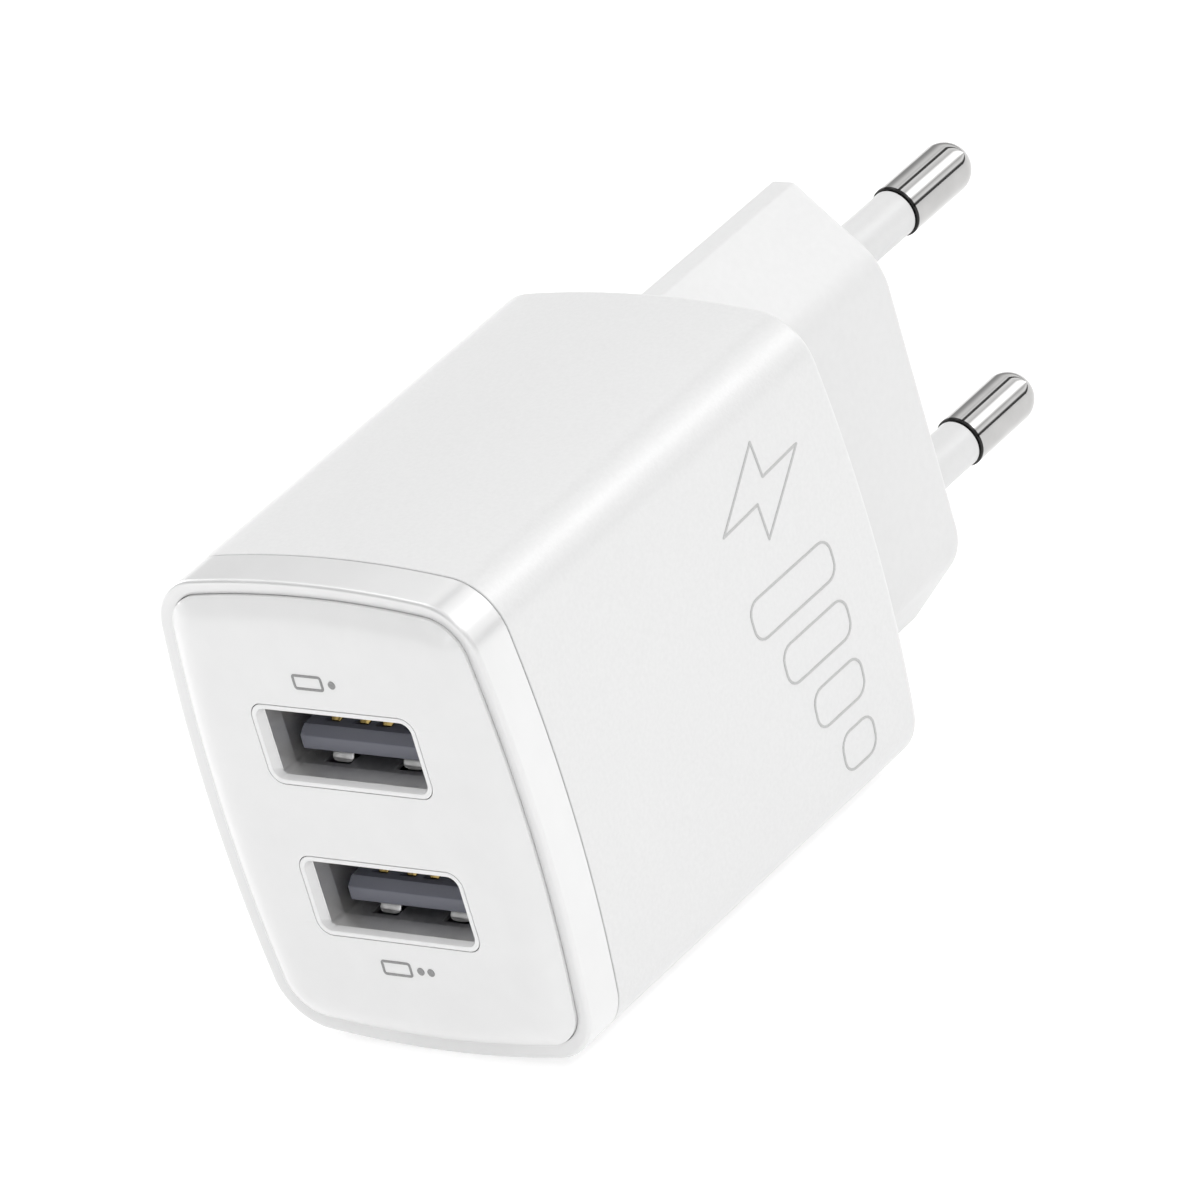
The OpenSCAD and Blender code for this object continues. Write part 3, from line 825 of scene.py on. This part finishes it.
def build_pin(port, z):
    """A plated pin with a rounded rear rim and a domed end."""
    bm = bmesh.new()
    root = -8
    rim = 0.12
    dome_start = PIN_TIP - PIN_R
    dome_power = 0.94
    path = [Vector((PIN_SHANK_R, root)), Vector((PIN_SHANK_R, SLEEVE_END))]
    path += soft_path(
        [(PIN_SHANK_R, SLEEVE_END), (PIN_R, SLEEVE_END), (PIN_R, dome_start)],
        [0, rim, 0], steps=8, closed=False)[1:]
    steps = 18
    for i in range(1, steps):
        turn = math.pi / 2 * i / steps
        path.append(Vector((PIN_R * math.cos(turn) ** dome_power, dome_start + PIN_R * math.sin(turn))))
    rings = lathe(bm, path, z)
    flat_face(bm, rings[0])
    middle = bm.verts.new((0, PIN_TIP * MM, z * MM))
    last = rings[-1]
    for a, b in zip(last, last[1:] + last[:1]):
        bm.faces.new((a, b, middle))
    piece = to_object(bm, "mains_pin_" + port, LOOKS["pin_nickel"])
    smooth(piece)
    place(piece, "pin_nickel", BODY, "pin_" + port)


def build_pin_sleeve(port, z):
    """An insulating sleeve that stops just short of the pin's wider end."""
    bm = bmesh.new()
    end = SLEEVE_END - 0.08
    path = soft_path(
        [(PIN_SHANK_R, SLEEVE_START), (SLEEVE_R, SLEEVE_START), (SLEEVE_R, end), (PIN_SHANK_R, end)],
        [0, 0, 0.1, 0], steps=5)
    lathe(bm, path, z, closed=True)
    piece = to_object(bm, "insulating_sleeve_" + port, LOOKS["pin_sleeve_white"])
    smooth(piece)
    place(piece, "pin_sleeve_white", BODY, "sleeve_" + port)


build_sleeve()
build_front_ring()
build_front_panel()
build_plug_block()
for port in PORTS:
    sign = 1 if port == "upper" else -1
    build_port_frame(port, sign * PORT_Z)
    build_socket_shell(port, sign * PORT_Z)
    build_tongue(port, sign * PORT_Z)
    build_contacts(port, sign * PORT_Z)
    build_springs(port, sign * PORT_Z, "floor", -1)
    build_springs(port, sign * PORT_Z, "roof", 1)
    build_pin(port, sign * PIN_Z)
    build_pin_sleeve(port, sign * PIN_Z)

# ---------------------------------------------------------------- CAD nodes that stay
NODE_LOOKS = {
    "side_mark": "line_grey",
    "port_marks": "ink_grey",
    "pin_contact_upper": "strip_brass",
    "pin_contact_lower": "strip_brass",
    "usb_contact_tails_upper": "contact_gold",
    "usb_contact_tails_lower": "contact_gold",
    "usb_board": "board_green",
    "board_link_pins": "strip_brass",
    "main_board": "board_green",
    "insulation_sheet": "sheet_white",
    "transformer_core": "ferrite",
    "transformer_bobbin": "bobbin_black",
    "transformer_winding": "winding_copper",
    "transformer_tape": "tape_yellow",
    "bulk_capacitors": "capacitor_navy",
    "output_capacitors": "capacitor_green",
    "y_capacitor": "disc_blue",
    "input_choke": "choke_black",
    "fuse_resistor": "resistor_tan",
    "bridge_rectifier": "chip_black",
    "control_ic": "chip_black",
    "output_rectifier": "chip_black",
    "chip_parts": "chip_tan",
}
for node, look in NODE_LOOKS.items():
    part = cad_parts[node]
    for slot in part.material_slots:
        slot.material = LOOKS[look]


# ---------------------------------------------------------------- stage, light and camera
def build_floor():
    """A wide pale floor just under the object."""
    bm = bmesh.new()
    half_m = 3.0
    gap = 0.05
    cloud_mm = 400
    bmesh.ops.create_grid(bm, x_segments=8, y_segments=8, size=half_m)
    look = Look("pale floor")
    look.colour(tint(0.65), tint(0.665), look.noise(cloud_mm, 2))
    look.value("Roughness", 0.9)
    look.value("Specular IOR Level", 0.0)
    look.value("Emission Color", shade(1))
    look.value("Emission Strength", 0.5)
    piece = to_object(bm, "floor", look.material)
    piece.location.z = -(HALF_H + gap) * MM


# The studio's radiance round the Y axis, by the angle in degrees from +X over the top to -X. The
# levels come from a scratch fit to tones read off the photo, rounded and in part changed by hand
STUDIO_BANDS = (
    # A dark gap low on the right
    (0, 0.08), (9, 0.08),
    # The main box, brightest at its middle
    (14, 1.1), (22, 0.92), (30, 0.6), (38, 1.5), (46, 3.4), (54, 2.1), (62, 1.8), (70, 0.8),
    # The box overhead and the dark gap beside it
    (80, 0.95), (91, 1.1), (92, 0.08), (103, 0.08),
    # The box on the left, which fades downwards to a bright strip
    (105, 1.0), (113, 0.8), (122, 0.9), (132, 0.75), (142, 0.5), (152, 0.38), (165, 0.33), (180, 1.3),
)
# How much brighter the studio is towards +Y, and the radiance of the backdrop that the camera sees
STUDIO_SLOPE = 0.4
BACKDROP = 1.0


def build_world():
    """Long soft boxes that run along Y, with dark gaps between them, before a plain backdrop."""
    world = bpy.data.worlds.new("studio")
    bpy.context.scene.world = world
    world.use_nodes = True
    nodes, links = world.node_tree.nodes, world.node_tree.links
    background = nodes["Background"]
    coords = nodes.new("ShaderNodeTexCoord")
    axes = nodes.new("ShaderNodeSeparateXYZ")
    angle = nodes.new("ShaderNodeMath")
    angle.operation = "ARCTAN2"
    half_turn = nodes.new("ShaderNodeMath")
    half_turn.operation = "DIVIDE"
    half_turn.inputs[1].default_value = math.pi
    ramp = nodes.new("ShaderNodeValToRGB")
    brightest = max(level for _, level in STUDIO_BANDS)
    stops = ramp.color_ramp.elements
    stops[0].position, stops[1].position = 0, 1
    for turn, level in STUDIO_BANDS:
        if turn == 0:
            stop = stops[0]
        elif turn == 180:
            stop = stops[len(stops) - 1]
        else:
            stop = stops.new(turn / 180)
        stop.color = shade(level / brightest)
    links.new(coords.outputs["Generated"], axes.inputs["Vector"])
    links.new(axes.outputs["Z"], angle.inputs[0])
    links.new(axes.outputs["X"], angle.inputs[1])
    links.new(angle.outputs["Value"], half_turn.inputs[0])
    links.new(half_turn.outputs["Value"], ramp.inputs["Fac"])
    # The studio is brighter behind the object than in front of its ports
    slope = nodes.new("ShaderNodeMath")
    slope.operation = "MULTIPLY_ADD"
    slope.inputs[1].default_value = STUDIO_SLOPE * brightest
    slope.inputs[2].default_value = brightest
    links.new(axes.outputs["Y"], slope.inputs[0])
    links.new(slope.outputs["Value"], background.inputs["Strength"])
    links.new(ramp.outputs["Color"], background.inputs["Color"])
    # The boxes light the object, and behind it the picture shows a plain pale backdrop
    plain = nodes.new("ShaderNodeBackground")
    plain.inputs["Color"].default_value = shade(1)
    plain.inputs["Strength"].default_value = BACKDROP
    ray = nodes.new("ShaderNodeLightPath")
    mix = nodes.new("ShaderNodeMixShader")
    links.new(ray.outputs["Is Camera Ray"], mix.inputs["Fac"])
    links.new(background.outputs["Background"], mix.inputs[1])
    links.new(plain.outputs["Background"], mix.inputs[2])
    links.new(mix.outputs["Shader"], nodes["World Output"].inputs["Surface"])


SOFT_BOX_SIDE = 240
SOFT_BOX_TARGET = (0, -20, 0)


def soft_box(name, place_mm, watts):
    """A square soft box that faces the middle of the object."""
    light = bpy.data.lights.new(name, "AREA")
    light.shape = "RECTANGLE"
    light.size = SOFT_BOX_SIDE * MM
    light.size_y = SOFT_BOX_SIDE * MM
    light.energy = watts
    lamp = bpy.data.objects.new(name, light)
    bpy.context.collection.objects.link(lamp)
    lamp.location = Vector(place_mm) * MM
    lamp.rotation_mode = "QUATERNION"
    lamp.rotation_quaternion = (Vector(SOFT_BOX_TARGET) - Vector(place_mm)).to_track_quat("-Z", "Y")


def build_camera():
    """A long lens above and to the right of the ports, rolled a little, as fitted to the photo's edges."""
    azimuth, elevation, roll = math.radians(43.02), math.radians(25.79), math.radians(16.6)
    target = Vector((-12.81, -17.15, -7.84)) * MM
    distance = 751.56 * MM
    back = Vector((
        math.sin(azimuth) * math.cos(elevation),
        -math.cos(azimuth) * math.cos(elevation),
        math.sin(elevation),
    ))
    level = Vector((math.cos(azimuth), math.sin(azimuth), 0))
    right = Matrix.Rotation(roll, 3, -back) @ level
    up = back.cross(right)
    data = bpy.data.cameras.new("camera")
    data.sensor_width = 36
    data.lens = 315.34
    data.clip_start = 0.05
    data.clip_end = 20
    camera = bpy.data.objects.new("camera", data)
    bpy.context.collection.objects.link(camera)
    turn = Matrix((right, up, back)).transposed().to_4x4()
    camera.matrix_world = Matrix.Translation(target + back * distance) @ turn
    bpy.context.scene.camera = camera


build_floor()
build_world()
soft_box("top soft box", (-120, -100, 372), 0.25)
soft_box("left soft box", (-376, -20, 136), 0.6)
build_camera()
bpy.context.scene.view_settings.view_transform = "Standard"
